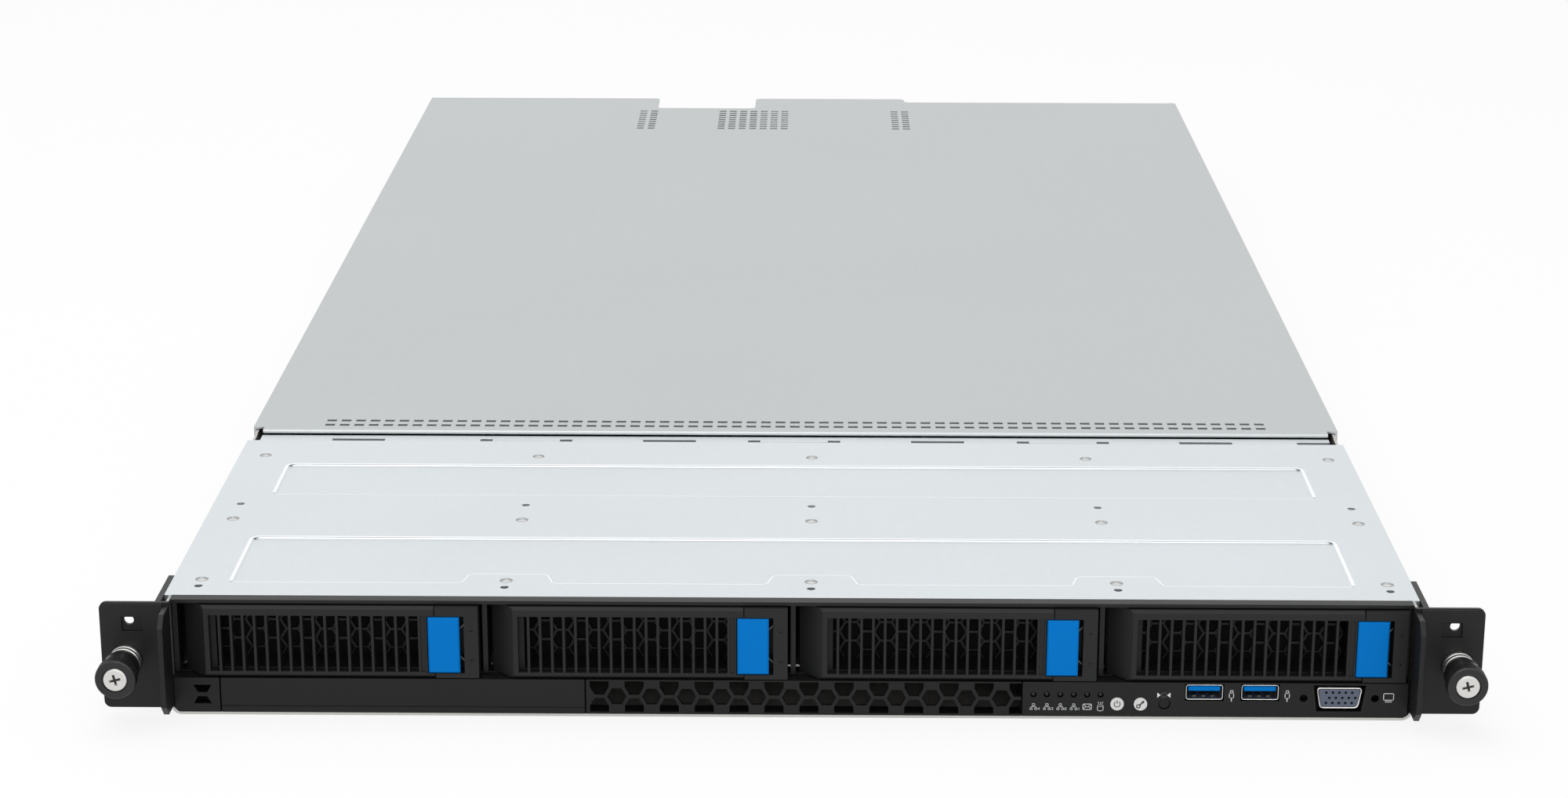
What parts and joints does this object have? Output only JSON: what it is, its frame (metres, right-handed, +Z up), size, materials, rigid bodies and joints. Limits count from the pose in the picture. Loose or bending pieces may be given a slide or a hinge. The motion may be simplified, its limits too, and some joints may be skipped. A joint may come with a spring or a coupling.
{
  "type": "1u rack server",
  "caption": "Flat rack-mount server with hot-swap drive trays, slotted levers, control panel, rack ears with thumbscrews, fans and removable supplies.",
  "frame": {"origin": "middle of the chassis' bottom face, halfway between the plane of the drive fronts and the lid's rear edge", "axes": "+X to the right seen from the front, +Y from the front to the rear, +Z up"},
  "size_m": [0.4826, 0.8807, 0.0436],
  "materials": {
    "galvanised_steel": "satin galvanised sheet",
    "black_steel": "fine black powder coat",
    "bright_metal": "bright nickel",
    "black_plastic": "fine moulded grain",
    "blue_plastic": "satin blue",
    "spring_steel": "bright spring steel",
    "drive_casting": "cast housing with steel lid",
    "circuit_board": "green solder mask",
    "white_plastic": "satin white",
    "knob_plastic": "knurled black",
    "aluminium": "extruded",
    "green_plastic": "satin green",
    "supply_steel": "plated steel case"
  },
  "bodies": {
    "case": {"chassis_tray": "galvanised_steel", "front_plate": "galvanised_steel", "plate_rivets": "bright_metal", "front_frame": "black_steel", "drive_cage": "galvanised_steel", "backplane_board": "circuit_board", "corner_piece": "black_plastic", "blank_panel": "black_plastic", "honeycomb_grille": "black_plastic", "control_panel": "black_plastic", "control_board": "circuit_board", "usb_sockets": "bright_metal", "video_socket": "bright_metal", "left_ear": "black_steel", "right_ear": "black_steel", "ear_covers": "black_plastic", "thumbscrew_ferrules": "bright_metal", "fan_housings": "black_plastic", "mainboard": "circuit_board", "processor_heatsink": "aluminium", "memory_modules": "circuit_board", "rear_panel": "galvanised_steel", "slot_covers": "galvanised_steel", "rear_sockets": "bright_metal", "riser_cages": "galvanised_steel"},
    "tray_1": {"tray_1_carrier": "black_plastic", "tray_1_drive": "drive_casting", "tray_1_spring": "spring_steel"},
    "lever_1": {"tray_1_lever": "black_plastic"},
    "latch_1": {"tray_1_latch": "blue_plastic"},
    "tray_2": {"tray_2_carrier": "black_plastic", "tray_2_drive": "drive_casting", "tray_2_spring": "spring_steel"},
    "lever_2": {"tray_2_lever": "black_plastic"},
    "latch_2": {"tray_2_latch": "blue_plastic"},
    "tray_3": {"tray_3_carrier": "black_plastic", "tray_3_drive": "drive_casting", "tray_3_spring": "spring_steel"},
    "lever_3": {"tray_3_lever": "black_plastic"},
    "latch_3": {"tray_3_latch": "blue_plastic"},
    "tray_4": {"tray_4_carrier": "black_plastic", "tray_4_drive": "drive_casting", "tray_4_spring": "spring_steel"},
    "lever_4": {"tray_4_lever": "black_plastic"},
    "latch_4": {"tray_4_latch": "blue_plastic"},
    "lid": {"lid": "galvanised_steel"},
    "left_thumbscrew": {"left_thumbscrew": "knob_plastic"},
    "right_thumbscrew": {"right_thumbscrew": "knob_plastic"},
    "power_button": {"power_button": "white_plastic"},
    "reset_button": {"reset_button": "white_plastic"},
    "locate_button": {"locate_button": "black_plastic"},
    "fan_rotor_1": {"fan_rotor_1": "black_plastic"},
    "fan_rotor_2": {"fan_rotor_2": "black_plastic"},
    "fan_rotor_3": {"fan_rotor_3": "black_plastic"},
    "fan_rotor_4": {"fan_rotor_4": "black_plastic"},
    "fan_rotor_5": {"fan_rotor_5": "black_plastic"},
    "power_supply_1": {"power_supply_1": "supply_steel"},
    "power_supply_1_latch": {"power_supply_1_latch": "green_plastic"},
    "power_supply_2": {"power_supply_2": "supply_steel"},
    "power_supply_2_latch": {"power_supply_2_latch": "green_plastic"}
  },
  "joints": [
    {"name": "tray_1_slide", "type": "slide", "parent": "case", "child": "tray_1", "axis": [0, -1, 0], "range_m": [0, 0.16]},
    {"name": "lever_1_swing", "type": "hinge", "parent": "tray_1", "child": "lever_1", "pos_m": [-0.2087, -0.41225, 0.0274], "axis": [0, 0, -1], "range_deg": [0, 60]},
    {"name": "latch_1_slide", "type": "slide", "parent": "tray_1", "child": "latch_1", "axis": [1, 0, 0], "range_m": [0, 0.0015], "stiffness_N_per_m": 400, "deforming": ["tray_1_spring"]},
    {"name": "tray_2_slide", "type": "slide", "parent": "case", "child": "tray_2", "axis": [0, -1, 0], "range_m": [0, 0.16]},
    {"name": "lever_2_swing", "type": "hinge", "parent": "tray_2", "child": "lever_2", "pos_m": [-0.1005, -0.41225, 0.0274], "axis": [0, 0, -1], "range_deg": [0, 60]},
    {"name": "latch_2_slide", "type": "slide", "parent": "tray_2", "child": "latch_2", "axis": [1, 0, 0], "range_m": [0, 0.0015], "stiffness_N_per_m": 400, "deforming": ["tray_2_spring"]},
    {"name": "tray_3_slide", "type": "slide", "parent": "case", "child": "tray_3", "axis": [0, -1, 0], "range_m": [0, 0.16]},
    {"name": "lever_3_swing", "type": "hinge", "parent": "tray_3", "child": "lever_3", "pos_m": [0.0077, -0.41225, 0.0274], "axis": [0, 0, -1], "range_deg": [0, 60]},
    {"name": "latch_3_slide", "type": "slide", "parent": "tray_3", "child": "latch_3", "axis": [1, 0, 0], "range_m": [0, 0.0015], "stiffness_N_per_m": 400, "deforming": ["tray_3_spring"]},
    {"name": "tray_4_slide", "type": "slide", "parent": "case", "child": "tray_4", "axis": [0, -1, 0], "range_m": [0, 0.16]},
    {"name": "lever_4_swing", "type": "hinge", "parent": "tray_4", "child": "lever_4", "pos_m": [0.1159, -0.41225, 0.0274], "axis": [0, 0, -1], "range_deg": [0, 60]},
    {"name": "latch_4_slide", "type": "slide", "parent": "tray_4", "child": "latch_4", "axis": [1, 0, 0], "range_m": [0, 0.0015], "stiffness_N_per_m": 400, "deforming": ["tray_4_spring"]},
    {"name": "lid_lift", "type": "slide", "parent": "case", "child": "lid", "axis": [0, 0, 1], "range_m": [0, 0.15]},
    {"name": "left_thumbscrew_turn", "type": "hinge", "parent": "case", "child": "left_thumbscrew", "pos_m": [-0.23255, -0.43625, 0.0218], "axis": [0, 1, 0], "continuous": true},
    {"name": "right_thumbscrew_turn", "type": "hinge", "parent": "case", "child": "right_thumbscrew", "pos_m": [0.23255, -0.43625, 0.0218], "axis": [0, 1, 0], "continuous": true},
    {"name": "power_button_press", "type": "slide", "parent": "case", "child": "power_button", "axis": [0, 1, 0], "range_m": [0, 0.0006], "stiffness_N_per_m": 600},
    {"name": "reset_button_press", "type": "slide", "parent": "case", "child": "reset_button", "axis": [0, 1, 0], "range_m": [0, 0.0006], "stiffness_N_per_m": 600},
    {"name": "locate_button_press", "type": "slide", "parent": "case", "child": "locate_button", "axis": [0, 1, 0], "range_m": [0, 0.0006], "stiffness_N_per_m": 600},
    {"name": "fan_1_spin", "type": "hinge", "parent": "case", "child": "fan_rotor_1", "pos_m": [-0.1865, -0.18625, 0.021], "axis": [0, 1, 0], "continuous": true},
    {"name": "fan_2_spin", "type": "hinge", "parent": "case", "child": "fan_rotor_2", "pos_m": [-0.1325, -0.18625, 0.021], "axis": [0, 1, 0], "continuous": true},
    {"name": "fan_3_spin", "type": "hinge", "parent": "case", "child": "fan_rotor_3", "pos_m": [-0.0785, -0.18625, 0.021], "axis": [0, 1, 0], "continuous": true},
    {"name": "fan_4_spin", "type": "hinge", "parent": "case", "child": "fan_rotor_4", "pos_m": [-0.0245, -0.18625, 0.021], "axis": [0, 1, 0], "continuous": true},
    {"name": "fan_5_spin", "type": "hinge", "parent": "case", "child": "fan_rotor_5", "pos_m": [0.0295, -0.18625, 0.021], "axis": [0, 1, 0], "continuous": true},
    {"name": "power_supply_1_slide", "type": "slide", "parent": "case", "child": "power_supply_1", "axis": [0, 1, 0], "range_m": [0, 0.18]},
    {"name": "power_supply_1_release", "type": "slide", "parent": "power_supply_1", "child": "power_supply_1_latch", "axis": [1, 0, 0], "range_m": [0, 0.002], "stiffness_N_per_m": 600},
    {"name": "power_supply_2_slide", "type": "slide", "parent": "case", "child": "power_supply_2", "axis": [0, 1, 0], "range_m": [0, 0.18]},
    {"name": "power_supply_2_release", "type": "slide", "parent": "power_supply_2", "child": "power_supply_2_latch", "axis": [1, 0, 0], "range_m": [0, 0.002], "stiffness_N_per_m": 600}
  ]
}
